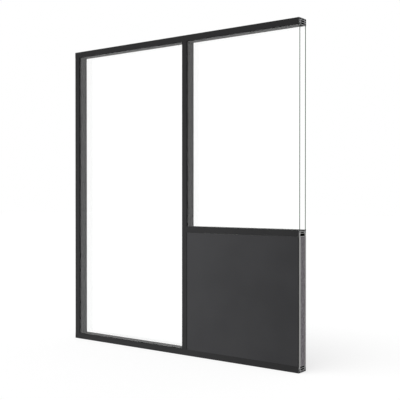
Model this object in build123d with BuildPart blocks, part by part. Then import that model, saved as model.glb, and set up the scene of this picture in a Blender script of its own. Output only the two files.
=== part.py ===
import os

from build123d import *

# Office partition wall: a dry, demountable wall of slim extruded frame sections.
# X runs along the wall, Y goes through it (front face at -Y) and Z is up.
# The origin is on the underside of the floor track, at the middle of the wall.
# The right end is a sawn end, where the sections, panes and boards show their layers.

# Overall sizes
wall_length = 2414.0
wall_height = 2700.0
wall_depth = 108.0

# Visible widths of the frame members
head_width = 52.0
floor_width = 52.0
post_width = 56.0
mullion_width = 50.0
transom_width = 52.0

# Bays
right_bay_width = 1078.0
panel_height = 985.0

# Extrusion walls and clearances
profile_wall = 2.6
cover_wall = 2.0
snap_gap = 0.3
butt_gap = 0.3
edge_radius = 0.8

# Glazing
glass_thickness = 12.0
glass_edge_cover = 12.0
glass_arris = 0.5
outer_gasket = 3.0
inner_gasket = 2.0
gasket_edge_gap = 1.0
block_height = 4.8
block_length = 100.0
transom_edge_cover = 7.2

# Track that is screwed to floor, ceiling and side wall
track_width = 49.0
track_base = 3.0
track_height = 15.7
track_wall = 1.8
seal_width = 9.0
seal_depth = 1.5
seal_inset = 4.0
fixing_radius = 3.5
fixing_count = 4
fixing_end = 157.0
post_fixing_end = 98.0

# Main section: webs, legs, arms and screw ports
web_height = 16.0
leg_gap = 0.4
leg_start = 1.3
arm_reach = 47.0
arm_lip = 1.6
groove_width = 1.6
groove_depth = 1.0
port_radius = 2.1
port_wall = 1.8
port_slot = 2.0
reveal_wall = 2.6

# Cover section: clip legs
cover_floor_gap = 1.0
clip_wall = 1.6
middle_leg_reach = 12.0
hook_depth = 2.6
hook_wall = 1.6
hook_clear = 0.3

# Solid panel under the transom
facing_thickness = 3.0
outer_board_thickness = 12.0
inner_board_thickness = 12.5
board_gasket = 1.0
facing_joint = 0.5
shadow_gap = 5.0
edge_trim_width = 10.0
board_head_pocket = 24.0
core_setback = 3.0

# Levels through the wall, measured from its middle plane
face_y = wall_depth / 2
cover_back_y = face_y - cover_wall
glass_outer_y = cover_back_y - outer_gasket
glass_inner_y = glass_outer_y - glass_thickness
body_side_y = glass_inner_y - inner_gasket
board_outer_y = cover_back_y - board_gasket
board_inner_y = board_outer_y - outer_board_thickness

# Depths of the pockets that take the panes, their setting blocks and the panel boards
pocket_depth = glass_edge_cover + block_height
transom_pocket = transom_edge_cover + block_height
board_foot_cover = pocket_depth - butt_gap
board_head_cover = board_head_pocket - butt_gap

# Places along the wall
left_x = -wall_length / 2
right_x = wall_length / 2
post_edge_x = left_x + post_width
mullion_right_x = right_x - right_bay_width
mullion_left_x = mullion_right_x - mullion_width
mullion_x = (mullion_left_x + mullion_right_x) / 2

# Places up the wall
sill_z = floor_width
soffit_z = wall_height - head_width
clear_height = soffit_z - sill_z
cover_height = clear_height - 2 * butt_gap
transom_bottom_z = sill_z + panel_height
transom_top_z = transom_bottom_z + transom_width
transom_z = (transom_bottom_z + transom_top_z) / 2

# Spacing of the screw holes along the tracks
fixing_pitch = (wall_length - 2 * fixing_end) / (fixing_count - 1)
post_fixing_pitch = (clear_height - 2 * post_fixing_end) / (fixing_count - 1)

# Section planes: local x goes through the wall, local y into the bay
floor_plane = Plane(origin=(left_x, 0, 0), x_dir=(0, 1, 0), z_dir=(1, 0, 0))
head_plane = Plane(origin=(right_x, 0, wall_height), x_dir=(0, 1, 0), z_dir=(-1, 0, 0))
post_plane = Plane(origin=(left_x, 0, soffit_z), x_dir=(0, 1, 0), z_dir=(0, 0, -1))
mullion_plane = Plane(origin=(mullion_x, 0, sill_z), x_dir=(0, 1, 0), z_dir=(0, 0, 1))
transom_plane = Plane(origin=(mullion_right_x, 0, transom_z), x_dir=(0, 1, 0), z_dir=(1, 0, 0))

# Planes of the covers that butt against others, set back by a hairline joint
post_cover_plane = post_plane.offset(butt_gap)
mullion_cover_plane = mullion_plane.offset(butt_gap)
transom_cover_plane = transom_plane.offset(butt_gap)

# The two faces of the wall
sides = ((-1, "front"), (1, "back"))

os.makedirs("parts", exist_ok=True)


def bar(y_start, y_end, v_start, v_end, mode=Mode.ADD):
    """A rectangle of a section, given by its four edges."""
    with Locations(((y_start + y_end) / 2, (v_start + v_end) / 2)):
        Rectangle(abs(y_end - y_start), abs(v_end - v_start), mode=mode)


def screw_port(y_centre, v_centre, inward):
    """A round port for an end screw, slotted on the side that faces the middle."""
    with Locations((y_centre, v_centre)):
        Circle(port_radius + port_wall)
        Circle(port_radius, mode=Mode.SUBTRACT)
    slot_end = y_centre + inward * (port_radius + 2 * port_wall)
    bar(y_centre, slot_end, v_centre - port_slot / 2, v_centre + port_slot / 2, Mode.SUBTRACT)


def pocket_arm(side, ledge, way=1):
    """The ledge under a pane, with the lip that a cover clips behind; way is up or down."""
    tip = side * (cover_back_y - arm_lip)
    bar(side * body_side_y, tip, way * (ledge - profile_wall), way * ledge)
    lip_foot = ledge - profile_wall - hook_depth
    bar(tip - side * hook_wall, tip, way * lip_foot, way * ledge)


def clip_leg(side, ledge, way=1):
    """The hooked leg of a cover that grips the lip of a pocket arm."""
    leg_top = ledge - profile_wall - hook_depth - hook_clear
    leg_foot = leg_top - clip_wall
    hook_top = leg_top + hook_depth - hook_clear
    tip = side * (cover_back_y - arm_lip - 2 * hook_wall - hook_clear)
    bar(side * cover_back_y, tip, way * leg_foot, way * leg_top)
    bar(tip, tip + side * hook_wall, way * leg_foot, way * hook_top)


def track_section():
    """U-shaped track with two seal pockets in its outer face."""
    half = track_width / 2
    with BuildSketch() as section:
        bar(-half, half, 0, track_base)
        for side in (-1, 1):
            bar(side * (half - track_wall), side * half, 0, track_height)
            seal_edge = half - seal_inset
            bar(side * (seal_edge - seal_width), side * seal_edge, 0, seal_depth, Mode.SUBTRACT)
        tips = section.vertices().group_by(Axis.Y)[-1]
        chamfer(tips, track_wall / 4)
    return section.sketch


def seal_section():
    """The two foam seals that fill the pockets of a track."""
    with BuildSketch() as section:
        seal_edge = track_width / 2 - seal_inset
        for side in (-1, 1):
            bar(side * (seal_edge - seal_width), side * seal_edge, 0, seal_depth)
    return section.sketch


def edge_body_section(width):
    """Main section of a member at the edge of the wall, with one glazed side."""
    v_ledge = width - pocket_depth
    v_web = v_ledge - profile_wall
    leg_inner = track_width / 2 + leg_gap
    with BuildSketch() as section:
        bar(-body_side_y, body_side_y, web_height, width)
        inner_y = body_side_y - profile_wall
        bar(-inner_y, inner_y, v_ledge, width - reveal_wall, Mode.SUBTRACT)
        bar(-inner_y, inner_y, web_height + profile_wall, v_web, Mode.SUBTRACT)
        bar(-groove_width / 2, groove_width / 2, width - groove_depth, width, Mode.SUBTRACT)
        for side in (-1, 1):
            pocket_arm(side, v_ledge)
            bar(side * body_side_y, side * arm_reach, web_height, web_height + profile_wall)
            leg_outer = leg_inner + profile_wall
            bar(side * leg_inner, side * leg_outer, leg_start, web_height)
            port_y = side * (inner_y - port_radius - port_wall / 2)
            screw_port(port_y, (web_height + profile_wall + v_web) / 2, -side)
    return section.sketch


def edge_cover_section(width, side):
    """Snap-on cover of an edge member; side is -1 at the front and 1 at the back."""
    v_middle = web_height + profile_wall + snap_gap
    foot_tip = track_width / 2 + leg_gap + profile_wall + snap_gap
    with BuildSketch() as section:
        bar(side * cover_back_y, side * face_y, cover_floor_gap, width)
        outer_edge = section.vertices().group_by(Axis.X)[0 if side < 0 else -1]
        fillet(outer_edge, edge_radius)
        bar(side * foot_tip, side * cover_back_y, cover_floor_gap, cover_floor_gap + clip_wall)
        middle_tip = side * (cover_back_y - middle_leg_reach)
        bar(middle_tip, side * cover_back_y, v_middle, v_middle + clip_wall)
        clip_leg(side, width - pocket_depth)
    return section.sketch


def double_body_section(width, upper_pocket, lower_pocket):
    """Main section of a mullion or transom, with a pocket on each of its two sides."""
    half = width / 2
    inner_y = body_side_y - profile_wall
    chamber_top = half - upper_pocket - profile_wall
    chamber_foot = profile_wall + lower_pocket - half
    with BuildSketch() as section:
        bar(-body_side_y, body_side_y, -half, half)
        bar(-inner_y, inner_y, chamber_foot, chamber_top, Mode.SUBTRACT)
        for way, pocket in ((1, upper_pocket), (-1, lower_pocket)):
            ledge = half - pocket
            bar(-inner_y, inner_y, way * ledge, way * (half - reveal_wall), Mode.SUBTRACT)
            groove_foot = way * (half - groove_depth)
            bar(-groove_width / 2, groove_width / 2, groove_foot, way * half, Mode.SUBTRACT)
            for side in (-1, 1):
                pocket_arm(side, ledge, way)
        for side in (-1, 1):
            port_y = side * (inner_y - port_radius - port_wall / 2)
            screw_port(port_y, (chamber_foot + chamber_top) / 2, -side)
    return section.sketch


def double_cover_section(width, side, upper_pocket, lower_pocket):
    """Snap-on cover of a mullion or transom, with a clip leg for each arm."""
    half = width / 2
    with BuildSketch() as section:
        bar(side * cover_back_y, side * face_y, -half, half)
        outer_edge = section.vertices().group_by(Axis.X)[0 if side < 0 else -1]
        fillet(outer_edge, edge_radius)
        clip_leg(side, half - upper_pocket, 1)
        clip_leg(side, half - lower_pocket, -1)
    return section.sketch


def sheet_plane(y_back):
    """Upright plane of a sheet's back face; a positive extrusion comes forward."""
    return Plane.XZ.offset(-y_back)


def write(piece, label):
    """Labels a finished piece and writes its file."""
    piece.part.label = label
    export_step(piece.part, f"parts/{label}.step")


# Floor track, with its seals and screw holes
with BuildPart() as floor_track:
    with BuildSketch(floor_plane):
        add(track_section())
    extrude(amount=wall_length)
    with Locations(Plane.XY.offset(track_base)):
        with GridLocations(fixing_pitch, 0, fixing_count, 1):
            Hole(fixing_radius, depth=track_base)
write(floor_track, "floor_track")

with BuildPart() as floor_seals:
    with BuildSketch(floor_plane):
        add(seal_section())
    extrude(amount=wall_length)
write(floor_seals, "floor_seals")

# Head track, with its seals and screw holes
with BuildPart() as head_track:
    with BuildSketch(head_plane):
        add(track_section())
    extrude(amount=wall_length)
    with Locations(Plane.XY.offset(wall_height)):
        with GridLocations(fixing_pitch, 0, fixing_count, 1):
            Hole(fixing_radius, depth=track_base)
write(head_track, "head_track")

with BuildPart() as head_seals:
    with BuildSketch(head_plane):
        add(seal_section())
    extrude(amount=wall_length)
write(head_seals, "head_seals")

# Wall track, between the two rails
with BuildPart() as wall_track:
    with BuildSketch(post_plane):
        add(track_section())
    extrude(amount=clear_height)
    side_plane = Plane(origin=(left_x + track_base, 0, wall_height / 2), x_dir=(0, 0, 1), z_dir=(1, 0, 0))
    with Locations(side_plane):
        with GridLocations(post_fixing_pitch, 0, fixing_count, 1):
            Hole(fixing_radius, depth=track_base)
write(wall_track, "wall_track")

with BuildPart() as wall_seals:
    with BuildSketch(post_plane):
        add(seal_section())
    extrude(amount=clear_height)
write(wall_seals, "wall_seals")

# Floor rail and its covers
with BuildPart() as floor_rail:
    with BuildSketch(floor_plane):
        add(edge_body_section(floor_width))
    extrude(amount=wall_length)
write(floor_rail, "floor_rail")

for side, name in sides:
    with BuildPart() as floor_cover:
        with BuildSketch(floor_plane):
            add(edge_cover_section(floor_width, side))
        extrude(amount=wall_length)
    write(floor_cover, f"floor_cover_{name}")

# Head rail and its covers
with BuildPart() as head_rail:
    with BuildSketch(head_plane):
        add(edge_body_section(head_width))
    extrude(amount=wall_length)
write(head_rail, "head_rail")

for side, name in sides:
    with BuildPart() as head_cover:
        with BuildSketch(head_plane):
            add(edge_cover_section(head_width, side))
        extrude(amount=wall_length)
    write(head_cover, f"head_cover_{name}")

# Wall post and its covers, between the rails
with BuildPart() as wall_post:
    with BuildSketch(post_plane):
        add(edge_body_section(post_width))
    extrude(amount=clear_height)
write(wall_post, "wall_post")

for side, name in sides:
    with BuildPart() as post_cover:
        with BuildSketch(post_cover_plane):
            add(edge_cover_section(post_width, side))
        extrude(amount=cover_height)
    write(post_cover, f"wall_post_cover_{name}")

# Mullion and its covers
with BuildPart() as mullion:
    with BuildSketch(mullion_plane):
        add(double_body_section(mullion_width, pocket_depth, pocket_depth))
    extrude(amount=clear_height)
write(mullion, "mullion")

for side, name in sides:
    with BuildPart() as mullion_cover:
        with BuildSketch(mullion_cover_plane):
            add(double_cover_section(mullion_width, side, pocket_depth, pocket_depth))
        extrude(amount=cover_height)
    write(mullion_cover, f"mullion_cover_{name}")

# Transom and its covers, from the mullion to the sawn end
with BuildPart() as transom:
    with BuildSketch(transom_plane):
        add(double_body_section(transom_width, transom_pocket, board_head_pocket))
    extrude(amount=right_bay_width)
write(transom, "transom")

for side, name in sides:
    with BuildPart() as transom_cover:
        with BuildSketch(transom_cover_plane):
            add(double_cover_section(transom_width, side, transom_pocket, board_head_pocket))
        extrude(amount=right_bay_width - butt_gap)
    write(transom_cover, f"transom_cover_{name}")


def sheet(label, x_start, x_end, z_start, z_end, y_one, y_other, arris=0):
    """Builds and writes a flat sheet, such as a pane or a board."""
    with BuildPart() as piece:
        with BuildSketch(sheet_plane(max(y_one, y_other))):
            bar(x_start, x_end, z_start, z_end)
        extrude(amount=abs(y_other - y_one))
        if arris > 0:
            chamfer(piece.edges(), arris)
    write(piece, label)


def gasket_profile(x_start, x_end, z_start, z_end, foot_cover, gap, open_end):
    """Gasket round an opening, seen from the front; an open end stops at the sawn end."""
    reach = glass_edge_cover - gasket_edge_gap
    x_far = x_end if open_end else x_end + reach
    x_inner = x_end + reach if open_end else x_end
    bar(x_start - reach, x_far, z_start - foot_cover + gasket_edge_gap, z_end + reach)
    bar(x_start + gap, x_inner, z_start, z_end, Mode.SUBTRACT)


# Clear openings: left edge, right edge, lower edge, upper edge
left_bay = (post_edge_x, mullion_left_x, sill_z, soffit_z)
right_bay = (mullion_right_x, right_x, transom_top_z, soffit_z)
panel_bay = (mullion_right_x, right_x, sill_z, transom_bottom_z)

# Glazed bays: name, opening, cover over the foot of a pane, and whether the end is sawn
glazed_bays = (
    ("left", left_bay, glass_edge_cover, False),
    ("right", right_bay, transom_edge_cover, True),
)

# Glass panes
for bay, opening, foot_cover, open_end in glazed_bays:
    x_start, x_end, z_start, z_end = opening
    pane_end = x_end if open_end else x_end + glass_edge_cover
    for side, name in sides:
        sheet(
            f"{bay}_glass_{name}",
            x_start - glass_edge_cover, pane_end,
            z_start - foot_cover, z_end + glass_edge_cover,
            side * glass_inner_y, side * glass_outer_y,
            glass_arris,
        )

# Gaskets, one against each face of every pane
for bay, opening, foot_cover, open_end in glazed_bays:
    for side, name in sides:
        with BuildPart() as gaskets:
            with BuildSketch(sheet_plane(max(side * glass_outer_y, side * cover_back_y))):
                gasket_profile(*opening, foot_cover, 0, open_end)
            extrude(amount=outer_gasket)
            with BuildSketch(sheet_plane(max(side * glass_inner_y, side * body_side_y))):
                gasket_profile(*opening, foot_cover, 0, open_end)
            extrude(amount=inner_gasket)
        write(gaskets, f"{bay}_gaskets_{name}")

# Setting blocks, two under each pane at its quarter points
with BuildPart() as setting_blocks:
    for bay, opening, foot_cover, open_end in glazed_bays:
        x_start, x_end, z_start, z_end = opening
        block_foot = z_start - foot_cover - block_height
        block_x = (x_start + x_end) / 2
        for side, name in sides:
            block_y = side * (glass_inner_y + glass_outer_y) / 2
            with BuildSketch(Plane.XY.offset(block_foot)):
                with Locations((block_x, block_y)):
                    with GridLocations((x_end - x_start) / 2, 0, 2, 1):
                        Rectangle(block_length, glass_thickness)
            extrude(amount=block_height)
write(setting_blocks, "glass_setting_blocks")

# Solid panel, from the front to the back
x_start, x_end, z_start, z_end = panel_bay
core_front_y = -board_inner_y + inner_board_thickness
facing_x = x_start + shadow_gap
trim_x = x_end - edge_trim_width
for side, name in sides:
    sheet(
        f"panel_facing_{name}",
        facing_x, trim_x,
        z_start + facing_joint, z_end - facing_joint,
        side * board_outer_y, side * (board_outer_y + facing_thickness),
    )
    sheet(
        f"panel_edge_trim_{name}",
        trim_x, x_end,
        z_start + facing_joint, z_end - facing_joint,
        side * board_outer_y, side * (board_outer_y + facing_thickness),
    )
    sheet(
        f"panel_board_{name}",
        x_start - glass_edge_cover, x_end,
        z_start - board_foot_cover, z_end + board_head_cover,
        side * board_inner_y, side * board_outer_y,
    )
sheet(
    "panel_inner_board",
    x_start + butt_gap, x_end,
    z_start + butt_gap, z_end - butt_gap,
    -board_inner_y, core_front_y,
)
sheet(
    "panel_core",
    x_start + butt_gap, x_end - core_setback,
    z_start + butt_gap, z_end - butt_gap,
    core_front_y, board_inner_y,
)

# Gaskets round the panel's boards, wide enough at the mullion to close the shadow gap
with BuildPart() as panel_gaskets:
    for side, name in sides:
        with BuildSketch(sheet_plane(max(side * board_outer_y, side * cover_back_y))):
            gasket_profile(*panel_bay, glass_edge_cover, shadow_gap, True)
        extrude(amount=board_gasket)
        with BuildSketch(sheet_plane(max(side * board_inner_y, side * body_side_y))):
            gasket_profile(*panel_bay, glass_edge_cover, 0, True)
        extrude(amount=board_inner_y - body_side_y)
write(panel_gaskets, "panel_gaskets")
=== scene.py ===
"""Office partition wall: finishes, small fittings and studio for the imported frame.

The wall runs along X, its front face looks to -Y and Z is up. Its right end is sawn
through, so the hollow sections, panes, boards and mineral wool show their layers there.
Sizes are in metres.
"""
from __future__ import annotations

import logging
import math
from collections.abc import Sequence
from dataclasses import dataclass
from enum import Enum
from functools import cached_property

import bmesh
import bpy
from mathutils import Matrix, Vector


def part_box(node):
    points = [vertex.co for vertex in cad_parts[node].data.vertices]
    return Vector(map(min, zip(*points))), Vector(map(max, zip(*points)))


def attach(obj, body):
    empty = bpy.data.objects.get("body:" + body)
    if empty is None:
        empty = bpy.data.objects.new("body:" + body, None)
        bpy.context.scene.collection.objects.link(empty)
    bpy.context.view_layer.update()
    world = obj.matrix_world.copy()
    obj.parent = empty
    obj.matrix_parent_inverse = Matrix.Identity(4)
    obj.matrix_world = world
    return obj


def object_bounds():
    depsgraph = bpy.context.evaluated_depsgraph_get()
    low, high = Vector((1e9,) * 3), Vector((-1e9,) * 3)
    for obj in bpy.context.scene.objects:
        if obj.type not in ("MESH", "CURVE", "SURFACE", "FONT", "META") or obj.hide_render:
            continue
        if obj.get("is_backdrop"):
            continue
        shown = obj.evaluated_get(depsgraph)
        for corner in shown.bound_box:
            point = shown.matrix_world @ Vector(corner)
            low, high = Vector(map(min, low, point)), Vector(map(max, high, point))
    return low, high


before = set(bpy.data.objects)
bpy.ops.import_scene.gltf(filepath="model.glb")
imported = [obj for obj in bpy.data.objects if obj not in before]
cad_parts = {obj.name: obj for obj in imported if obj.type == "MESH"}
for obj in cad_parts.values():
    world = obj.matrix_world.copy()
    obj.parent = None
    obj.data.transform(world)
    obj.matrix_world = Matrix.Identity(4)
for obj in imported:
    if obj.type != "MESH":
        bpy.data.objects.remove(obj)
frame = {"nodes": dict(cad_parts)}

LOG = logging.getLogger("partition_wall")
MM = 0.001
NOISE_LOW = 0.3
NOISE_HIGH = 0.7
WHITE = (1.0, 1.0, 1.0)

Colour = tuple[float, float, float]
Point = tuple[float, float, float]
Span = tuple[float, float]
Material = bpy.types.Material
Node = bpy.types.Node
Object = bpy.types.Object
Outputs = bpy.types.NodeOutputs
Socket = bpy.types.NodeSocket
Tree = bpy.types.NodeTree
Ring = list[bmesh.types.BMVert]


class Slot(Enum):
    """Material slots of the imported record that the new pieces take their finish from."""

    ALUMINIUM = "mill_aluminium"
    WOOL = "mineral_wool"


class Side(Enum):
    """The two faces of the wall, as the nodes' names end."""

    FRONT = "front"
    BACK = "back"


class Bay(Enum):
    """The two glazed bays, as the nodes' names begin."""

    LEFT = "left"
    RIGHT = "right"


class Member(Enum):
    """The framing members, with the node of each one's main section."""

    FLOOR = "floor_rail"
    HEAD = "head_rail"
    WALL_POST = "wall_post"
    MULLION = "mullion"
    TRANSOM = "transom"

    def cover(self, side: Side) -> str:
        """Names the node of the member's snap-on cover on one side."""
        return f"{self.name.lower()}_cover_{side.value}"


class LampKind(Enum):
    """The two kinds of soft lamp, by Blender's names."""

    PANEL = "AREA"
    SKY = "SUN"


class Reach(Enum):
    """What a lamp lights, as the floor's state in the lamp's list of receivers."""

    FLOOR_ONLY = "INCLUDE"
    ALL_BUT_FLOOR = "EXCLUDE"


def new_object(name: str, data: bpy.types.ID) -> Object:
    """Puts a new object into the scene.

    Args:
        name: The object's name.
        data: Its mesh, lamp or camera.

    Returns:
        The object.
    """
    made = bpy.data.objects.new(name, data)
    bpy.context.scene.collection.objects.link(made)
    return made


class NodeLayout:
    """Lays out nodes in a tree and joins them."""

    def __init__(self, tree: Tree) -> None:
        """Starts with an empty tree."""
        self.tree = tree
        self.tree.nodes.clear()

    def node(self, kind: str, **settings: object) -> Node:
        """Adds a node.

        Args:
            kind: Blender's name of the node type.
            **settings: Attributes to set on the node.

        Returns:
            The new node.
        """
        made = self.tree.nodes.new(kind)
        for name, value in settings.items():
            setattr(made, name, value)
        return made

    def feed(self, target: Socket, value: object) -> None:
        """Links an output to an input, or sets a plain value on it.

        Args:
            target: The input socket.
            value: An output socket, or what the input holds.
        """
        if isinstance(value, Socket):
            self.tree.links.new(value, target)
        elif target.type == "RGBA":
            target.default_value = (*value, 1.0)
        else:
            target.default_value = value

    def fill(self, node: Node, **inputs: object) -> Node:
        """Feeds a node's inputs.

        Args:
            node: The node.
            **inputs: Sockets or values by input name, with underscores for spaces.

        Returns:
            The node.
        """
        for name, value in inputs.items():
            self.feed(node.inputs[name.replace("_", " ")], value)
        return node

    def step(self, kind: str, output: str | int = 0, **inputs: object) -> Socket:
        """Adds a node, feeds it as fill() does, and gives the chosen output."""
        return self.fill(self.node(kind), **inputs).outputs[output]

    def numbered(self, kind: str, inputs: dict[int, object], output: int = 0, **settings: object) -> Socket:
        """Adds a node whose inputs go by number.

        Args:
            kind: Blender's name of the node type.
            inputs: Sockets or values by the inputs' numbers.
            output: The number of the output to give.
            **settings: Attributes to set on the node.

        Returns:
            The chosen output.
        """
        made = self.node(kind, **settings)
        for number, value in inputs.items():
            self.feed(made.inputs[number], value)
        return made.outputs[output]

    def maths(self, operation: str, *values: object) -> Socket:
        """Adds a Math node with its inputs in order, and gives the result."""
        return self.numbered("ShaderNodeMath", dict(enumerate(values)), operation=operation)

    def vector_maths(self, operation: str, *values: object) -> Socket:
        """Adds a Vector Math node, as maths() does with numbers."""
        return self.numbered("ShaderNodeVectorMath", dict(enumerate(values)), operation=operation)

    def times(self, first: object, second: object) -> Socket:
        """Multiplies two numbers."""
        return self.maths("MULTIPLY", first, second)

    def vector(self, x: object, y: object, z: object) -> Socket:
        """Joins three numbers to a vector."""
        return self.step("ShaderNodeCombineXYZ", X=x, Y=y, Z=z)

    def apart(self, vector: Socket) -> Outputs:
        """Takes a vector apart, and gives its X, Y and Z by name."""
        return self.fill(self.node("ShaderNodeSeparateXYZ"), Vector=vector).outputs


class ShaderTree(NodeLayout):
    """Adds the colour and pattern nodes that effects, finishes and the studio need."""

    def remap(self, value: Socket, low: float, high: float, out_low: float = 0.0,
              out_high: float = 1.0) -> Socket:
        """Stretches the range from low to high to the one from out_low to out_high, and clamps."""
        return self.step("ShaderNodeMapRange", "Result", Value=value, From_Min=low, From_Max=high,
                         To_Min=out_low, To_Max=out_high)

    def spread(self, noise: Socket, low: float = 0.0, high: float = 1.0) -> Socket:
        """Stretches the range that a noise mostly stays in to another one."""
        return self.remap(noise, NOISE_LOW, NOISE_HIGH, low, high)

    def blend(self, factor: object, first: object, second: object) -> Socket:
        """Mixes two colours; a factor of 0 gives the first, and 1 the second."""
        return self.numbered("ShaderNodeMix", {0: factor, 6: first, 7: second}, 2, data_type="RGBA")

    def mix(self, factor: object, first: object, second: object) -> Socket:
        """Mixes two numbers, as blend() does with colours."""
        return self.numbered("ShaderNodeMix", {0: factor, 2: first, 3: second}, data_type="FLOAT")

    def noise(self, vector: Socket, scale: object, detail: float = 2.0, roughness: float = 0.5) -> Socket:
        """Adds a noise of so many cells per metre, with a value about 0.5."""
        return self.step("ShaderNodeTexNoise", "Fac", Vector=vector, Scale=scale, Detail=detail,
                         Roughness=roughness)

    def cells(self, vector: Socket, scale: float) -> Socket:
        """Adds a cell pattern, and gives the distance from each cell's middle."""
        return self.step("ShaderNodeTexVoronoi", "Distance", Vector=vector, Scale=scale)


class EffectGroup(ShaderTree):
    """A shader node group in the making, with its inputs and outputs."""

    def __init__(self, name: str, outputs: Sequence[str], **inputs: str) -> None:
        """Makes a group with nothing between its inputs and outputs.

        Args:
            name: The group's name.
            outputs: Names of its outputs, which are numbers.
            **inputs: Socket kinds by input name, with underscores for spaces.
        """
        super().__init__(bpy.data.node_groups.new(name, "ShaderNodeTree"))
        new_socket = self.tree.interface.new_socket
        for label, kind in inputs.items():
            new_socket(name=label.replace("_", " "), in_out="INPUT", socket_type=f"NodeSocket{kind}")
        for label in outputs:
            new_socket(name=label, in_out="OUTPUT", socket_type="NodeSocketFloat")
        self.given = self.node("NodeGroupInput").outputs
        self.end = self.node("NodeGroupOutput")


@dataclass
class Effects:
    """Shader node groups that several finishes share, each built once.

    The fields are the sizes of their patterns, and the octaves and roughness of their noise.
    reach is how far the sawn end is from the middle of the wall.
    """

    reach: float
    fine_noise: Span = (3.0, 0.6)
    line_noise: Span = (4.0, 0.65)
    coarse_scale: float = 0.22
    coarse_share: float = 0.35
    drift_span: Span = (0.35, 0.65)
    drift_share: float = 0.5
    cut_margin: float = 0.2 * MM
    cut_facing: float = 0.7
    blade_shift: Point = (0.0, 0.21, 0.16)
    arc_scale: float = 260.0
    arc_distortion: float = 1.4
    arc_detail_scale: float = 30.0
    scratch_scale: float = 900.0
    scratch_share: float = 0.45

    @cached_property
    def fine_grain(self) -> Tree:
        """Fine pebbled grain with a slow drift of tone.

        Returns:
            A group with the outputs Height and Tone.
        """
        group = EffectGroup("Fine grain", ("Height", "Tone"), Position="Vector", Scale="Float",
                            Drift="Float")
        position = group.given["Position"]
        fine = group.noise(position, group.given["Scale"], *self.fine_noise)
        coarse = group.noise(position, group.times(group.given["Scale"], self.coarse_scale))
        drift = group.remap(group.noise(position, group.given["Drift"]), *self.drift_span)
        height = group.mix(self.coarse_share, fine, coarse)
        tone = group.mix(self.drift_share, group.spread(fine), drift)
        group.fill(group.end, Height=height, Tone=tone)
        return group.tree

    @cached_property
    def drawn_lines(self) -> Tree:
        """Long fine lines, as a die or a grinding belt leaves them.

        Returns:
            A group with the output Lines; Stretch is the scale along each axis.
        """
        group = EffectGroup("Drawn lines", ("Lines",), Position="Vector", Stretch="Vector")
        pulled = group.vector_maths("MULTIPLY", group.given["Position"], group.given["Stretch"])
        group.fill(group.end, Lines=group.spread(group.noise(pulled, 1.0, *self.line_noise)))
        return group.tree

    @cached_property
    def sawn_end(self) -> Tree:
        """Where a saw has cut across the wall, and the arcs that its blade left.

        Returns:
            A group with the outputs Mask and Marks. Reach is how far the cut is from the
            middle of the wall, and Both Ends is 1 where the left end is cut as well.
        """
        group = EffectGroup("Sawn end", ("Mask", "Marks"), Position="Vector", Facing="Vector",
                            Reach="Float", Both_Ends="Float")
        position = group.given["Position"]
        place = group.apart(position)["X"]
        facing = group.apart(group.given["Facing"])["X"]
        limit = group.maths("SUBTRACT", group.given["Reach"], self.cut_margin)
        ends = []
        for way in (1.0, -1.0):
            beyond = group.maths("GREATER_THAN", group.times(place, way), limit)
            across = group.maths("GREATER_THAN", group.times(facing, way), self.cut_facing)
            ends.append(group.times(beyond, across))
        right, left = ends
        mask = group.maths("MAXIMUM", right, group.times(left, group.given["Both Ends"]))
        from_blade = group.step("ShaderNodeMapping", "Vector", Vector=position,
                                Location=self.blade_shift, Scale=(0.0, 1.0, 1.0))
        arcs = group.node("ShaderNodeTexWave", wave_type="RINGS", rings_direction="X")
        group.fill(arcs, Vector=from_blade, Scale=self.arc_scale, Distortion=self.arc_distortion,
                   Detail_Scale=self.arc_detail_scale)
        scratches = group.noise(position, self.scratch_scale, *self.fine_noise)
        marks = group.mix(self.scratch_share, arcs.outputs["Fac"], scratches)
        group.fill(group.end, Mask=mask, Marks=marks)
        return group.tree


class Surface(ShaderTree):
    """A new material: its surface shader, and each point's own place and facing."""

    def __init__(self, name: str, effects: Effects) -> None:
        """Starts the material.

        Args:
            name: The material's name.
            effects: The shared node groups.
        """
        self.material = bpy.data.materials.new(name)
        self.material.use_nodes = True
        super().__init__(self.material.node_tree)
        self.effects = effects
        self.shader = self.node("ShaderNodeBsdfPrincipled")
        self.fill(self.node("ShaderNodeOutputMaterial"), Surface=self.shader.outputs[0])
        self.position = self.node("ShaderNodeTexCoord").outputs["Object"]
        self.facing = self.node("ShaderNodeNewGeometry").outputs["Normal"]

    def effect(self, group: Tree, **inputs: object) -> Outputs:
        """Places a shared group on the surface, and gives its outputs by name."""
        placed = self.node("ShaderNodeGroup", node_tree=group)
        return self.fill(placed, Position=self.position, **inputs).outputs

    def grain(self, scale: float, drift: float) -> Outputs:
        """Places the fine grain, with its Height and Tone."""
        return self.effect(self.effects.fine_grain, Scale=scale, Drift=drift)

    def lines(self, stretch: Point) -> Socket:
        """Places the drawn lines; stretch is their scale along each axis."""
        return self.effect(self.effects.drawn_lines, Stretch=stretch)["Lines"]

    def cut(self, both_ends: bool) -> Outputs:
        """Places the saw's cut at the right end or at both, with its Mask and Marks."""
        return self.effect(self.effects.sawn_end, Facing=self.facing, Reach=self.effects.reach,
                           Both_Ends=float(both_ends))


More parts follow.
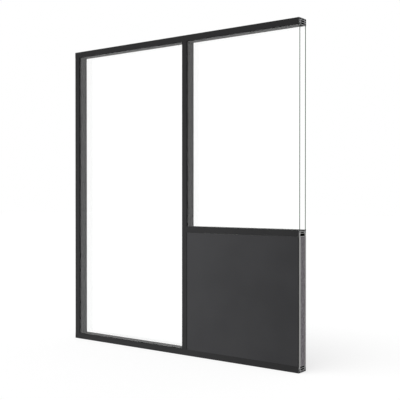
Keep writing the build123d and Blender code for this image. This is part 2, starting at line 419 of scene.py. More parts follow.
@dataclass(frozen=True)
class Finish:
    """What every finish has: a name, a level of shine and the depth of its relief."""

    name: str
    specular: float = 0.5
    relief: float = 0.02 * MM
    relief_share: float = 0.5

    def build(self, effects: Effects) -> Material:
        """Builds the material.

        Args:
            effects: The shared node groups.

        Returns:
            The material.
        """
        surface = Surface(self.name, effects)
        self.paint(surface)
        return surface.material

    def paint(self, surface: Surface) -> None:
        """Lays out the finish's own nodes on the new surface."""
        raise NotImplementedError

    def coat(self, surface: Surface, colour: Socket, roughness: object, height: Socket | None = None,
             **others: object) -> None:
        """Feeds the surface shader.

        Args:
            surface: The new material.
            colour: The base colour.
            roughness: A socket, or one number for the whole surface.
            height: The relief, from 0 to 1, or nothing where the surface is smooth.
            **others: More of the shader's inputs by name, with underscores for spaces.
        """
        surface.fill(surface.shader, Base_Color=colour, Roughness=roughness,
                     Specular_IOR_Level=self.specular, **others)
        if height is not None:
            normal = surface.step("ShaderNodeBump", "Normal", Distance=self.relief,
                                  Strength=self.relief_share, Height=height)
            surface.fill(surface.shader, Normal=normal)


@dataclass(frozen=True, kw_only=True)
class GrainedSolid(Finish):
    """A moulded, rolled, coated or plated solid: two tones, a grain and a roughness."""

    relief: float = 0.08 * MM
    relief_share: float = 0.6
    dark: Colour
    light: Colour
    grain_scale: float
    drift: float = 12.0
    roughness: Span
    metallic: float = 0.0

    def paint(self, surface: Surface) -> None:
        """Mixes the two tones by the grain.

        Args:
            surface: The new material.
        """
        grain = surface.grain(self.grain_scale, self.drift)
        tone = surface.blend(grain["Tone"], self.dark, self.light)
        roughness = surface.spread(grain["Height"], *self.roughness)
        self.coat(surface, tone, roughness, grain["Height"], Metallic=self.metallic)


@dataclass(frozen=True)
class GasketRubberWithGapShade(GrainedSolid):
    """Black rubber of the glazing and panel gaskets, made blacker and duller than the rubber itself as
    painted shade in the panel's shadow gap.
    """

    name: str = "Black gasket rubber"
    specular: float = 0.06
    # Near-black tones and low shine: the rubber's own black, darkened further as painted shade where the
    # gasket floors the shadow gap.
    dark: Colour = (0.003, 0.003, 0.003)
    light: Colour = (0.007, 0.007, 0.007)
    grain_scale: float = 900.0
    roughness: Span = (0.7, 0.85)


@dataclass(frozen=True)
class MouldedBlock(GrainedSolid):
    """Black moulded plastic of the setting blocks."""

    name: str = "Black moulded block"
    dark: Colour = (0.014, 0.014, 0.015)
    light: Colour = (0.026, 0.026, 0.027)
    grain_scale: float = 2400.0
    roughness: Span = (0.45, 0.6)


@dataclass(frozen=True)
class DarkLaminate(GrainedSolid):
    """Matt dark grey laminate of the panel's facings."""

    name: str = "Dark grey laminate"
    specular: float = 0.03
    relief: float = 0.03 * MM
    dark: Colour = (0.039, 0.039, 0.041)
    light: Colour = (0.0485, 0.0485, 0.0505)
    grain_scale: float = 1100.0
    drift: float = 2.5
    roughness: Span = (0.5, 0.6)


@dataclass(frozen=True)
class PlatedSteel(GrainedSolid):
    """Bright zinc-plated steel of the screws."""

    name: str = "Plated steel"
    relief: float = 0.02 * MM
    relief_share: float = 0.5
    dark: Colour = (0.5, 0.5, 0.5)
    light: Colour = (0.72, 0.73, 0.75)
    grain_scale: float = 1700.0
    drift: float = 160.0
    roughness: Span = (0.22, 0.38)
    metallic: float = 1.0


@dataclass(frozen=True)
class BlackCoat(GrainedSolid):
    """Matt black powder coat, as the panel's edge trims have it all over."""

    name: str = "Matt black edge trim"
    specular: float = 0.19
    relief: float = 0.05 * MM
    dark: Colour = (0.0155, 0.0155, 0.0161)
    light: Colour = (0.0195, 0.0195, 0.0201)
    grain_scale: float = 1900.0
    drift: float = 7.0
    roughness: Span = (0.5, 0.62)


@dataclass(frozen=True)
class SawnCoat(BlackCoat):
    """The same coat on extruded aluminium, with bare metal where the wall is sawn."""

    name: str = "Matt black powder coat"
    bare: Colour = (0.56, 0.565, 0.57)
    bare_low: Colour = (0.36, 0.365, 0.37)
    bare_roughness: float = 0.34

    def paint(self, surface: Surface) -> None:
        """Lays the coat, and bare metal over it where the cut is.

        Args:
            surface: The new material.
        """
        grain = surface.grain(self.grain_scale, self.drift)
        cut = surface.cut(both_ends=True)
        mask, marks = cut["Mask"], cut["Marks"]
        coat = surface.blend(grain["Tone"], self.dark, self.light)
        metal = surface.blend(marks, self.bare_low, self.bare)
        coat_roughness = surface.spread(grain["Height"], *self.roughness)
        roughness = surface.mix(mask, coat_roughness, self.bare_roughness)
        height = surface.mix(mask, grain["Height"], marks)
        self.coat(surface, surface.blend(mask, coat, metal), roughness, height, Metallic=mask)


@dataclass(frozen=True)
class MillAluminium(Finish):
    """Plain extruded aluminium, with lines along its length."""

    name: str = "Mill aluminium"
    dark: Colour = (0.48, 0.49, 0.5)
    light: Colour = (0.64, 0.65, 0.66)
    stretch: Point = (4.0, 900.0, 900.0)
    roughness: Span = (0.3, 0.46)

    def paint(self, surface: Surface) -> None:
        """Draws the lines, and the saw's marks at the cut end.

        Args:
            surface: The new material.
        """
        cut = surface.cut(both_ends=False)
        pattern = surface.mix(cut["Mask"], surface.lines(self.stretch), cut["Marks"])
        tone = surface.blend(pattern, self.dark, self.light)
        self.coat(surface, tone, surface.mix(pattern, *self.roughness), pattern, Metallic=1.0)


@dataclass(frozen=True)
class ClearGlass(Finish):
    """Clear toughened glass with ground edges."""

    name: str = "Clear glass"
    clear: Colour = (0.997, 1.0, 0.998)
    # Edge tones: the glass's own green, darkened to near black as painted shade along the edges.
    edge: Colour = (0.0002, 0.03, 0.0012)
    edge_deep_green_and_shade: Colour = (0.0, 0.015, 0.0003)
    edge_stretch: Point = (700.0, 2200.0, 90.0)
    edge_roughness: Span = (0.5, 0.68)
    face_turn: float = 0.9
    refraction: float = 1.5

    def paint(self, surface: Surface) -> None:
        """Keeps the faces clear, and tints and dulls the edges, whose near-black green is the glass's own
        green deepened by painted shade.

        Args:
            surface: The new material.
        """
        across = surface.maths("ABSOLUTE", surface.apart(surface.facing)["Y"])
        on_edge = surface.maths("LESS_THAN", across, self.face_turn)
        ground = surface.lines(self.edge_stretch)
        green_and_shade_tint = surface.blend(ground, self.edge_deep_green_and_shade, self.edge)
        haze = surface.mix(ground, *self.edge_roughness)
        self.coat(surface, surface.blend(on_edge, self.clear, green_and_shade_tint), surface.mix(on_edge, 0.0, haze),
                  Transmission_Weight=1.0, IOR=self.refraction)


@dataclass(frozen=True)
class CellFoam(Finish):
    """Closed-cell foam strip with small pores."""

    name: str = "Seal foam"
    specular: float = 0.2
    relief: float = 0.2 * MM
    relief_share: float = 0.7
    dark: Colour = (0.03, 0.03, 0.03)
    light: Colour = (0.095, 0.095, 0.095)
    pore_scale: float = 1400.0
    pore_span: Span = (0.1, 0.6)
    grain_scale: float = 2500.0
    drift: float = 20.0
    grain_share: float = 0.4
    roughness: float = 0.85

    def paint(self, surface: Surface) -> None:
        """Sinks the pores into a grained skin.

        Args:
            surface: The new material.
        """
        skin = surface.remap(surface.cells(surface.position, self.pore_scale), *self.pore_span)
        grain = surface.grain(self.grain_scale, self.drift)
        tone = surface.mix(self.grain_share, skin, grain["Tone"])
        self.coat(surface, surface.blend(tone, self.light, self.dark), self.roughness, skin)


@dataclass(frozen=True, kw_only=True)
class GypsumBoard(Finish):
    """Gypsum core with air bubbles, between two sheets of paper; the bubbles carry painted shade."""

    low_y: float
    high_y: float
    specular: float = 0.2
    relief: float = 0.25 * MM
    relief_share: float = 0.7
    core: Colour = (0.83, 0.83, 0.82)
    # Darker tone: the gypsum's own speckle, and painted shade inside the bubbles.
    speck_and_pore_shade: Colour = (0.64, 0.64, 0.63)
    paper: Colour = (0.55, 0.53, 0.5)
    paper_thickness: float = 0.45 * MM
    tear: float = 0.1 * MM
    tear_scale: float = 420.0
    tear_noise: Span = (2.0, 0.6)
    bubble_scale: float = 750.0
    bubble_span: Span = (0.12, 0.26)
    grain_scale: float = 1300.0
    drift: float = 40.0
    grain_share: float = 0.45
    grain_depth: float = 0.5
    core_roughness: float = 0.92
    paper_roughness: float = 0.78

    def paint(self, surface: Surface) -> None:
        """Fills the core with bubbles painted darker as painted shade, and lays the torn paper on both
        faces.

        Args:
            surface: The new material.
        """
        place = surface.apart(surface.position)["Y"]
        depth = surface.maths("ABSOLUTE", surface.maths("SUBTRACT", place, (self.low_y + self.high_y) / 2))
        torn = surface.noise(surface.position, self.tear_scale, *self.tear_noise)
        edge = surface.maths("ADD", depth, surface.spread(torn, -self.tear, self.tear))
        inside = (self.high_y - self.low_y) / 2 - self.paper_thickness
        on_paper = surface.maths("GREATER_THAN", edge, inside)
        hole = surface.remap(surface.cells(surface.position, self.bubble_scale), *self.bubble_span, 1.0, 0.0)
        grain = surface.grain(self.grain_scale, self.drift)
        speckled = surface.times(grain["Tone"], self.grain_share)
        # The bubbles take the darker tone as painted shade; elsewhere it is the gypsum's own speckle.
        gypsum = surface.blend(surface.maths("MAXIMUM", hole, speckled), self.core, self.speck_and_pore_shade)
        height = surface.mix(self.grain_depth, surface.maths("SUBTRACT", 1.0, hole), grain["Height"])
        self.coat(surface, surface.blend(on_paper, gypsum, self.paper),
                  surface.mix(on_paper, self.core_roughness, self.paper_roughness), height)


@dataclass(frozen=True)
class MineralWool(Finish):
    """Grey mineral wool: fine crossing fibres, with painted shade that darkens the hollows."""

    name: str = "Mineral wool"
    specular: float = 0.15
    relief: float = 0.8 * MM
    relief_share: float = 0.8
    dark: Colour = (0.275, 0.26, 0.279)
    light: Colour = (0.61, 0.577, 0.615)
    upright_fibres: Point = (500.0, 1500.0, 160.0)
    level_fibres: Point = (600.0, 260.0, 1500.0)
    level_share: float = 0.5
    grain_scale: float = 420.0
    drift: float = 45.0
    grain_share: float = 0.55
    roughness: float = 0.95

    def paint(self, surface: Surface) -> None:
        """Crosses two sets of fibres over a cloudy grain.

        Args:
            surface: The new material.
        """
        upright, level = surface.lines(self.upright_fibres), surface.lines(self.level_fibres)
        fibres = surface.mix(self.level_share, upright, level)
        tone = surface.mix(self.grain_share, fibres, surface.grain(self.grain_scale, self.drift)["Tone"])
        # One tone gives both colour and relief, so the low parts come out darker: the fibres' own tone, plus
        # painted shade in the hollows.
        self.coat(surface, surface.blend(tone, self.dark, self.light), self.roughness, tone)


@dataclass(frozen=True)
class PaintedHighlightWool(MineralWool):
    """The same wool in lighter tones, a painted highlight on the loose fibres so that they stand out from
    the bed.
    """

    name: str = "Loose wool fibres"
    # Lighter tones than the wool's own: painted highlight.
    dark: Colour = (0.46, 0.437, 0.465)
    light: Colour = (0.86, 0.816, 0.866)


class GeometryTree(NodeLayout):
    """A Geometry Nodes tree with named inputs, whose result becomes a plain mesh."""

    def __init__(self, name: str) -> None:
        """Starts a tree with a geometry output.

        Args:
            name: The name of the tree and of the piece that it makes.
        """
        super().__init__(bpy.data.node_groups.new(name, "GeometryNodeTree"))
        self.name = name
        self.tree.interface.new_socket(name="Geometry", in_out="OUTPUT", socket_type="NodeSocketGeometry")
        self.values: dict[str, object] = {}
        self.start = self.node("NodeGroupInput")
        self.end = self.node("NodeGroupOutput")

    def size(self, name: str, value: object, kind: str = "Float") -> Socket:
        """Adds a named input.

        Args:
            name: The input's name.
            value: The value that the modifier gives it.
            kind: The socket kind.

        Returns:
            The input's socket inside the tree.
        """
        made = self.tree.interface.new_socket(name=name, in_out="INPUT", socket_type=f"NodeSocket{kind}")
        self.values[made.identifier] = value
        return self.start.outputs[name]

    def mesh_object(self, geometry: Socket, material: Material) -> Object:
        """Ends the tree in plain dressed geometry, runs it and keeps the result as a mesh.

        Args:
            geometry: The finished geometry.
            material: The material of every face.

        Returns:
            The piece, without a modifier.
        """
        real = self.step("GeometryNodeRealizeInstances", Geometry=geometry)
        dressed = self.step("GeometryNodeSetMaterial", Geometry=real, Material=material)
        self.feed(self.end.inputs[0], dressed)
        holder = new_object(self.name, bpy.data.meshes.new(self.name))
        modifier = holder.modifiers.new(self.name, "NODES")
        modifier.node_group = self.tree
        for identifier, value in self.values.items():
            modifier[identifier] = value
        depsgraph = bpy.context.evaluated_depsgraph_get()
        mesh = bpy.data.meshes.new_from_object(holder.evaluated_get(depsgraph), depsgraph=depsgraph)
        holder.modifiers.clear()
        mesh.name = self.name
        holder.data = mesh
        return holder


class CutSheet(GeometryTree):
    """The grid that a layer of the wool's cut face grows from, flat about the origin."""

    def __init__(self, name: str, node: str, depth: float, cell: float) -> None:
        """Starts the tree with the grid.

        Args:
            name: The layer's name.
            node: The node whose end the layer covers.
            depth: Distance from that end to the sawn plane.
            cell: Size of the grid's cells.
        """
        super().__init__(name)
        low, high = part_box(node)
        self.centre = (high.x, (low.y + high.y) / 2, (low.z + high.z) / 2)
        self.tall = self.size("Height", high.z - low.z)
        self.wide = self.size("Width", high.y - low.y)
        self.room = self.size("Depth", depth)
        side = self.size("Cell", cell)
        rows = self.maths("ADD", self.maths("DIVIDE", self.tall, side), 2.0)
        columns = self.maths("ADD", self.maths("DIVIDE", self.wide, side), 2.0)
        self.grid = self.step("GeometryNodeMeshGrid", "Mesh", Size_X=self.tall, Size_Y=self.wide,
                              Vertices_X=rows, Vertices_Y=columns)

    def stand(self, geometry: Socket, material: Material) -> Object:
        """Keeps a layer inside the core's outline and the sawn plane, and stands it on the end.

        Args:
            geometry: The grown layer.
            material: The layer's material.

        Returns:
            The finished piece.
        """
        place = self.apart(self.node("GeometryNodeInputPosition").outputs[0])
        limits = []
        for axis, extent in (("X", self.tall), ("Y", self.wide)):
            high, low = (self.times(extent, way) for way in (0.5, -0.5))
            limits.append(self.maths("MAXIMUM", self.maths("MINIMUM", place[axis], high), low))
        limits.append(self.maths("MAXIMUM", self.maths("MINIMUM", place["Z"], self.room), 0.0))
        kept = self.step("GeometryNodeSetPosition", Geometry=geometry, Position=self.vector(*limits))
        upright = self.step("GeometryNodeTransform", Geometry=kept, Translation=self.centre,
                            Rotation=(0.0, math.pi / 2, 0.0))
        piece = self.mesh_object(upright, material)
        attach(piece, "root")
        return piece


@dataclass
class WoolCutFace:
    """The rough cut face of the mineral wool at the sawn end: a tufted bed and loose fibres.

    The depth up to the sawn plane is shared out by the fields that end in share.
    """

    core: str = "panel_core"
    bed: str = "panel_core_cut_face"
    fibres: str = "panel_core_loose_fibres"
    cell: float = 3.5 * MM
    merge_distance: float = 0.01 * MM
    bed_share: float = 0.3
    tuft_share: float = 0.45
    tuft_scale: float = 210.0
    tuft_noise: Span = (4.0, 0.6)
    tuft_low: float = 0.28
    tuft_gain: float = 2.2
    fibre_length: float = 13.0 * MM
    fibre_radius: float = 0.14 * MM
    fibre_sides: int = 3
    fibre_steps: int = 3
    fibre_growth: Span = (0.5, 1.4)
    fibre_tilt: Span = (0.2, 0.12)
    fibres_per_area: float = 135000.0
    bow: float = 0.22
    arch_share: float = 0.7
    float_share: float = 0.5
    wander_scale: float = 160.0
    wander: Point = (5.0 * MM, 5.0 * MM, 1.5 * MM)
    seed: int = 7

    def build(self, effects: Effects, wool: Material) -> list[Object]:
        """Makes both pieces, between the core's end and the sawn plane.

        Args:
            effects: The shared node groups.
            wool: The core's material.

        Returns:
            The finished pieces.
        """
        depth = effects.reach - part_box(self.core)[1].x
        bed = CutSheet(self.bed, self.core, depth, self.cell)
        loose = CutSheet(self.fibres, self.core, depth, self.cell)
        return [bed.stand(self._bed(bed), wool),
                # The loose fibres get the lighter copy of the wool, a painted highlight.
                loose.stand(self._fibres(loose), PaintedHighlightWool().build(effects))]

    def _bed(self, sheet: CutSheet) -> Socket:
        """Makes the closed, tufted slab that the fibres lie on.

        Args:
            sheet: The layer's grid.

        Returns:
            The slab's geometry.
        """
        lift = sheet.times(sheet.room, self.bed_share)
        raised = sheet.step("GeometryNodeExtrudeMesh", "Mesh", Mesh=sheet.grid, Offset_Scale=lift,
                            Individual=False)
        joined = sheet.node("GeometryNodeJoinGeometry")
        for part in (raised, sheet.step("GeometryNodeFlipFaces", Mesh=sheet.grid)):
            sheet.feed(joined.inputs[0], part)
        shell = sheet.step("GeometryNodeMergeByDistance", Geometry=joined.outputs[0],
                           Distance=self.merge_distance)
        detail, roughness = self.tuft_noise
        noise = sheet.step("ShaderNodeTexNoise", Scale=self.tuft_scale, Detail=detail, Roughness=roughness)
        swell = sheet.times(sheet.maths("SUBTRACT", noise, self.tuft_low), self.tuft_gain)
        rise = sheet.times(sheet.times(swell, sheet.room), self.tuft_share)
        place = sheet.apart(sheet.node("GeometryNodeInputPosition").outputs[0])
        top = sheet.numbered("FunctionNodeCompare", {0: place["Z"], 1: sheet.times(lift, 0.5)},
                             data_type="FLOAT", operation="GREATER_THAN")
        return sheet.step("GeometryNodeSetPosition", Geometry=shell, Selection=top,
                          Offset=sheet.vector(0.0, 0.0, rise))

    def _fibres(self, sheet: CutSheet) -> Socket:
        """Scatters loose bowed fibres over the face.

        Args:
            sheet: The layer's grid.

        Returns:
            The fibres' geometry.
        """
        length = sheet.size("Fibre Length", self.fibre_length)
        radius = sheet.size("Fibre Radius", self.fibre_radius)
        density = sheet.size("Fibres per Area", self.fibres_per_area)
        seed = sheet.size("Seed", self.seed, "Int")
        points = sheet.step("GeometryNodeDistributePointsOnFaces", "Points", Mesh=sheet.grid,
                            Density=density, Seed=seed)
        foot, tip = (sheet.vector(sheet.times(length, way), 0.0, 0.0) for way in (-0.5, 0.5))
        arch = sheet.times(sheet.room, self.arch_share)
        curve = sheet.step("GeometryNodeCurveQuadraticBezier", Resolution=self.fibre_steps, Start=foot,
                           Middle=sheet.vector(0.0, sheet.times(length, self.bow), arch), End=tip)
        ring = sheet.step("GeometryNodeCurvePrimitiveCircle", Resolution=self.fibre_sides, Radius=radius)
        strand = sheet.step("GeometryNodeCurveToMesh", Curve=curve, Profile_Curve=ring, Fill_Caps=True)
        tilt_x, tilt_y = self.fibre_tilt
        turns = {0: (-tilt_x, -tilt_y, 0.0), 1: (tilt_x, tilt_y, 2 * math.pi), 8: seed}
        turn = sheet.numbered("FunctionNodeRandomValue", turns, data_type="FLOAT_VECTOR")
        least, most = self.fibre_growth
        growths = {2: least, 3: most, 8: sheet.maths("ADD", seed, 1.0)}
        grow = sheet.numbered("FunctionNodeRandomValue", growths, 1, data_type="FLOAT")
        strands = sheet.step("GeometryNodeInstanceOnPoints", Points=points, Instance=strand,
                             Rotation=turn, Scale=grow)
        real = sheet.step("GeometryNodeRealizeInstances", Geometry=strands)
        noise = sheet.step("ShaderNodeTexNoise", "Color", Scale=self.wander_scale, Detail=2.0)
        centred = sheet.vector_maths("SUBTRACT", noise, (0.5, 0.5, 0.5))
        bent = sheet.vector_maths("MULTIPLY", centred, self.wander)
        lift = sheet.vector(0.0, 0.0, sheet.times(sheet.room, self.float_share))
        return sheet.step("GeometryNodeSetPosition", Geometry=real,
                          Offset=sheet.vector_maths("ADD", bent, lift))


@dataclass(frozen=True)
class ScrewRow:
    """Where the screws of one track go.

    They run along the track, stand up from its base and keep a margin from its ends. turn
    is the rotation that stands a screw up.
    """

    track: str
    along: Point
    up: Point
    turn: Point
    margin: float


@dataclass
class TrackScrews:
    """Pan head screws with washers, which hold the three tracks to the building.

    Crown, dome and foot are shares of the head's radius, and the dome's of its height too.
    """

    rows: tuple[ScrewRow, ...] = (
        ScrewRow("floor_track", (1.0, 0.0, 0.0), (0.0, 0.0, 1.0), (0.0, 0.0, 0.0), 157.0 * MM),
        ScrewRow("head_track", (1.0, 0.0, 0.0), (0.0, 0.0, -1.0), (math.pi, 0.0, 0.0), 157.0 * MM),
        ScrewRow("wall_track", (0.0, 0.0, 1.0), (1.0, 0.0, 0.0), (0.0, math.pi / 2, 0.0), 98.0 * MM),
    )
    count: int = 4
    base: float = 3.0 * MM
    shank_radius: float = 2.9 * MM
    washer_radius: float = 8.0 * MM
    washer_thickness: float = 1.2 * MM
    washer_edge: float = 0.2 * MM
    head_radius: float = 5.6 * MM
    head_height: float = 3.4 * MM
    socket_radius: float = 2.1 * MM
    socket_depth: float = 2.2 * MM
    socket_edge: float = 0.25 * MM
    crown_drop: float = 0.15 * MM
    crown_share: float = 0.62
    dome: tuple[Span, ...] = ((0.86, 0.82), (0.97, 0.62))
    foot_share: float = 0.98
    segments: int = 24

    def build(self, material: Material) -> list[Object]:
        """Makes the screws of each track.

        Args:
            material: The plated steel.

        Returns:
            One piece for each track.
        """
        pattern = self._screw()
        made = [self._row(row, pattern, material) for row in self.rows]
        bpy.data.objects.remove(pattern)
        return made

    def _row(self, row: ScrewRow, pattern: Object, material: Material) -> Object:
        """Repeats the screw along a track, each washer on the track's base.

        Args:
            row: The track and how its screws stand.
            pattern: The single screw.
            material: The screws' material.

        Returns:
            The row as one mesh.
        """
        low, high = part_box(row.track)
        seat = (low + high) / 2
        for axis, way in enumerate(row.up):
            if way:
                seat[axis] = (low if way > 0.0 else high)[axis] + way * self.base
        along = Vector(row.along)
        span = (high - low).dot(along) - 2 * row.margin
        first = seat - along * (span / 2)
        tree = GeometryTree(f"{row.track}_screws")
        count = tree.size("Count", self.count, "Int")
        start = tree.size("First Seat", tuple(first), "Vector")
        offset = tree.size("Step", tuple(along * (span / (self.count - 1))), "Vector")
        rotation = tree.size("Turn", row.turn, "Vector")
        line = tree.step("GeometryNodeMeshLine", Count=count, Start_Location=start, Offset=offset)
        single = tree.step("GeometryNodeObjectInfo", "Geometry", Object=pattern)
        screws = tree.step("GeometryNodeInstanceOnPoints", Points=line, Instance=single, Rotation=rotation)
        piece = tree.mesh_object(screws, material)
        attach(piece, "root")
        return piece

    def _screw(self) -> Object:
        """Makes one screw, seat at the origin and head up, as a closed mesh of rings.

        The rings go from the socket's floor over the head and washer to the shank's foot. Each
        has a radius and a height, and says so where it is six-sided.

        Returns:
            The screw's object.
        """
        socket_floor = self.head_height - self.socket_depth
        rings = [
            (0.0, socket_floor),
            (self.socket_radius, socket_floor, True),
            (self.socket_radius, self.head_height - self.socket_edge, True),
            (self.socket_radius + self.socket_edge, self.head_height),
            (self.head_radius * self.crown_share, self.head_height - self.crown_drop),
            *((self.head_radius * wide, self.head_height * tall) for wide, tall in self.dome),
            (self.head_radius, self.washer_thickness + self.washer_edge),
            (self.head_radius * self.foot_share, self.washer_thickness),
            (self.washer_radius - self.washer_edge, self.washer_thickness),
            (self.washer_radius, self.washer_thickness - self.washer_edge),
            (self.washer_radius, 0.0),
            (self.shank_radius, 0.0),
            (self.shank_radius, -self.base),
            (0.0, -self.base),
        ]
        shape = bmesh.new()
        loops = [self._ring(shape, *ring) for ring in rings]
        for inner, outer in zip(loops, loops[1:]):
            for index in range(self.segments):
                after = (index + 1) % self.segments
                quad = (inner[index], outer[index], outer[after], inner[after])
                shape.faces.new(list(dict.fromkeys(quad)))
        bmesh.ops.recalc_face_normals(shape, faces=shape.faces)
        mesh = bpy.data.meshes.new("screw")
        shape.to_mesh(mesh)
        shape.free()
        return new_object("screw", mesh)

    def _ring(self, shape: bmesh.types.BMesh, radius: float, height: float, six: bool = False) -> Ring:
        """Adds a ring of points, round or six-sided, or one middle point that stands for all.

        Args:
            shape: The mesh in the making.
            radius: The ring's radius.
            height: The ring's height.
            six: Whether the ring has six flats.

        Returns:
            The ring's points.
        """
        if radius == 0.0:
            return [shape.verts.new((0.0, 0.0, height))] * self.segments
        points = []
        for index in range(self.segments):
            angle = 2 * math.pi * index / self.segments
            reach = radius
            if six:
                reach = radius / math.cos((angle + math.pi / 6) % (math.pi / 3) - math.pi / 6)
            points.append(shape.verts.new((reach * math.cos(angle), reach * math.sin(angle), height)))
        return points


class Assembly:
    """Nodes of the frame that belong together, with the finishes that they get."""

    def finishes(self) -> dict[Finish, Sequence[str]]:
        """Chooses the nodes of each finish."""
        raise NotImplementedError

    def dress(self, effects: Effects) -> dict[str, Material]:
        """Builds each finish once, for all of its nodes.

        Args:
            effects: The shared node groups.

        Returns:
            Node names and materials.
        """
        dressed = {}
        for finish, nodes in self.finishes().items():
            dressed.update(dict.fromkeys(nodes, finish.build(effects)))
        return dressed


@dataclass
class MetalFrame(Assembly):
    """Tracks, main sections, snap-on covers and the panel's edge trims."""

    level_tracks: Sequence[str] = ("floor_track", "head_track")
    upright_track: str = "wall_track"
    upright_lines: Point = (900.0, 900.0, 4.0)

    def finishes(self) -> dict[Finish, Sequence[str]]:
        """Coats what shows, and leaves the tracks plain.

        Returns:
            Finishes, and the nodes of each.
        """
        covers = [member.cover(side) for side in Side for member in Member]
        upright = MillAluminium("Upright mill aluminium", stretch=self.upright_lines)
        return {
            SawnCoat(): [member.value for member in Member] + covers,
            BlackCoat(): [f"panel_edge_trim_{side.value}" for side in Side],
            MillAluminium(): self.level_tracks,
            upright: [self.upright_track],
        }


@dataclass
class Glazing(Assembly):
    """Panes, gaskets, setting blocks and foam seals."""

    blocks: str = "glass_setting_blocks"
    panel_gaskets: str = "panel_gaskets"
    seals: Sequence[str] = ("floor_seals", "head_seals", "wall_seals")

    def finishes(self) -> dict[Finish, Sequence[str]]:
        """Tells panes, rubber, blocks and foam apart.

        Returns:
            Finishes, and the nodes of each.
        """
        bays = [(bay.value, side.value) for bay in Bay for side in Side]
        return {
            ClearGlass(): [f"{bay}_glass_{side}" for bay, side in bays],
            GasketRubberWithGapShade(): [f"{bay}_gaskets_{side}" for bay, side in bays] + [self.panel_gaskets],
            MouldedBlock(): [self.blocks],
            CellFoam(): self.seals,
        }


@dataclass
class SolidPanel(Assembly):
    """Facings, boards and mineral wool of the lower right panel."""

    core: str = "panel_core"
    boards: Sequence[str] = ("panel_board_front", "panel_inner_board", "panel_board_back")

    def finishes(self) -> dict[Finish, Sequence[str]]:
        """Gives each board a gypsum of its own, whose paper lies where that board's faces are.

        Returns:
            Finishes, and the nodes of each.
        """
        chosen = {DarkLaminate(): [f"panel_facing_{side.value}" for side in Side],
                  MineralWool(): [self.core]}
        for board in self.boards:
            low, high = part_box(board)
            chosen[GypsumBoard(f"Gypsum of {board}", low_y=low.y, high_y=high.y)] = [board]
        return chosen


@dataclass(frozen=True)
class SoftLamp:
    """A soft lamp that doesn't show in panes or metal.

    Its spread is the side of a panel, or the angle of a sky in degrees.
    """

    name: str
    kind: LampKind
    place: Point
    target: Point
    power: float
    spread: float
    reach: Reach = Reach.ALL_BUT_FLOOR

    def hang(self, floor: Object) -> None:
        """Hangs the lamp, and lets it light the floor alone or everything else.

        Args:
            floor: The studio's floor.
        """
        data = bpy.data.lights.new(self.name, self.kind.value)
        data.energy = self.power
        if self.kind is LampKind.PANEL:
            data.size = self.spread
        else:
            data.angle = math.radians(self.spread)
        lamp = new_object(self.name, data)
        lamp.location = self.place
        ahead = Vector(self.target) - Vector(self.place)
        lamp.rotation_euler = ahead.to_track_quat("-Z", "Y").to_euler()
        lamp.visible_camera = lamp.visible_glossy = lamp.visible_transmission = False
        lit = bpy.data.collections.new(f"lit_by_{self.name}")
        lit.objects.link(floor)
        lit.collection_objects[0].light_linking.link_state = self.reach.value
        lamp.light_linking.receiver_collection = lit


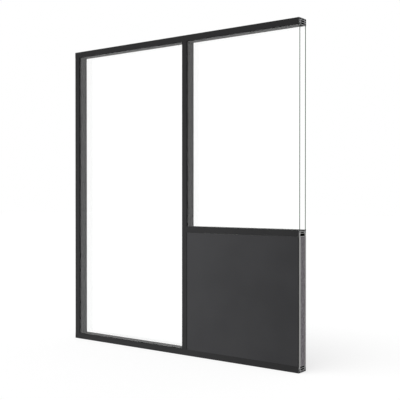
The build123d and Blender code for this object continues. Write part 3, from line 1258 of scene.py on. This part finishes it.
@dataclass
class Studio:
    """Pale floor, soft light and a camera where the photograph was taken from.

    The fields that end in through are what shows behind a pane.
    """

    lamps: tuple[SoftLamp, ...] = (
        SoftLamp("left_softbox", LampKind.PANEL, (-0.53, -2.375, 1.0), (-0.07, 0.0, 0.0), 66.0, 1.93),
        SoftLamp("back_fill", LampKind.PANEL, (-1.6, 3.4, 1.6), (0.0, 0.0, 1.2), 130.0, 2.4),
        SoftLamp("overhead_light", LampKind.SKY, (-0.3, -0.5, 5.0), (0.0, 0.0, 0.0), 1.9, 70.0),
        SoftLamp("floor_light", LampKind.SKY, (-0.3, -1.5, 5.0), (0.0, 0.0, 0.0), 1.9, 42.0,
                 Reach.FLOOR_ONLY),
    )
    floor_half: float = 40.0
    floor_level: float = -0.2 * MM
    floor_colour: float = 0.4
    floor_white: float = 0.67
    floor_through: float = 0.12
    white_through: float = 0.96
    ambient: float = 0.28
    world_through: float = 1.06
    camera_place: Point = (4.055, -5.0902, 1.35)
    camera_ahead: Point = (-0.6008, 0.7994, -0.006)
    focal_length: float = 68.28
    sensor: float = 36.0

    def build(self) -> None:
        """Makes the floor, the world, the lamps and the camera."""
        floor = self._floor()
        self._world()
        for lamp in self.lamps:
            lamp.hang(floor)
        self._camera()
        bpy.context.scene.view_settings.view_transform = "Standard"

    def _floor(self) -> Object:
        """Lays the floor, which looks white but keeps a soft shadow.

        Returns:
            The floor.
        """
        mesh = bpy.data.meshes.new("studio_floor")
        half, level = self.floor_half, self.floor_level
        square = [(-half, -half, level), (half, -half, level), (half, half, level), (-half, half, level)]
        mesh.from_pydata(square, [], [(0, 1, 2, 3)])
        floor = new_object("studio_floor", mesh)
        material = bpy.data.materials.new("Pale studio floor")
        material.use_nodes = True
        shader = ShaderTree(material.node_tree)
        seen, through = self._rays(shader)
        colour = shader.mix(through, self.floor_colour, self.floor_through)
        matt = shader.step("ShaderNodeBsdfDiffuse", Color=colour)
        strength = shader.mix(through, shader.times(seen, self.floor_white), self.white_through)
        glow = shader.step("ShaderNodeEmission", Color=WHITE, Strength=strength)
        both = shader.numbered("ShaderNodeAddShader", {0: matt, 1: glow})
        shader.fill(shader.node("ShaderNodeOutputMaterial"), Surface=both)
        mesh.materials.append(material)
        floor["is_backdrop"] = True
        return floor

    def _world(self) -> None:
        """Surrounds the wall with white that lights it only gently."""
        world = bpy.data.worlds.new("Studio")
        bpy.context.scene.world = world
        world.use_nodes = True
        shader = ShaderTree(world.node_tree)
        seen, through = self._rays(shader)
        strength = shader.mix(through, shader.mix(seen, self.ambient, 1.0), self.world_through)
        light = shader.step("ShaderNodeBackground", Color=WHITE, Strength=strength)
        shader.fill(shader.node("ShaderNodeOutputWorld"), Surface=light)

    @staticmethod
    def _rays(shader: ShaderTree) -> tuple[Socket, Socket]:
        """Tells rays that show the backdrop from rays that light a matt surface.

        Args:
            shader: The tree to add the nodes to.

        Returns:
            1 for rays from the camera, a reflection or a pane, and 1 for rays from a pane alone.
        """
        path = shader.node("ShaderNodeLightPath").outputs
        direct = shader.maths("LESS_THAN", path["Diffuse Depth"], 0.5)
        through = shader.times(path["Is Transmission Ray"], direct)
        mirrored = shader.times(path["Is Glossy Ray"], direct)
        clear = shader.maths("MAXIMUM", mirrored, through)
        return shader.maths("MAXIMUM", path["Is Camera Ray"], clear), through

    def _camera(self) -> None:
        """Stands the camera at the photograph's viewpoint."""
        data = bpy.data.cameras.new("camera")
        data.sensor_fit = "HORIZONTAL"
        data.sensor_width = self.sensor
        data.lens = self.focal_length
        camera = new_object("camera", data)
        camera.location = self.camera_place
        camera.rotation_euler = Vector(self.camera_ahead).to_track_quat("-Z", "Y").to_euler()
        bpy.context.scene.camera = camera


def dress_nodes(dressed: dict[str, Material]) -> None:
    """Assigns the finished materials to the frame's nodes.

    Args:
        dressed: Node names and materials.

    Raises:
        ValueError: If a node has no finish, or a finish has no node.
    """
    nodes = frame["nodes"]
    if set(nodes) != set(dressed):
        raise ValueError(f"nodes and finishes differ: {sorted(set(nodes) ^ set(dressed))}")
    for name, material in dressed.items():
        mesh = nodes[name].data
        mesh.materials.clear()
        mesh.materials.append(material)
        LOG.info("%s: %s", name, material.name)


def main() -> None:
    """Builds the finishes, the fittings and the studio, and reports each piece."""
    logging.basicConfig(level=logging.INFO, format="%(name)s: %(message)s")
    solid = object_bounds()
    effects = Effects(solid[1].x)
    dressed = {}
    for assembly in (MetalFrame(), Glazing(), SolidPanel()):
        dressed.update(assembly.dress(effects))
    dress_nodes(dressed)
    cut_face = WoolCutFace()
    pieces = cut_face.build(effects, dressed[cut_face.core])
    pieces += TrackScrews().build(PlatedSteel().build(effects))
    for piece in pieces:
        LOG.info("%s: %d faces", piece.name, len(piece.data.polygons))
    Studio().build()


if __name__ == "__main__":
    main()
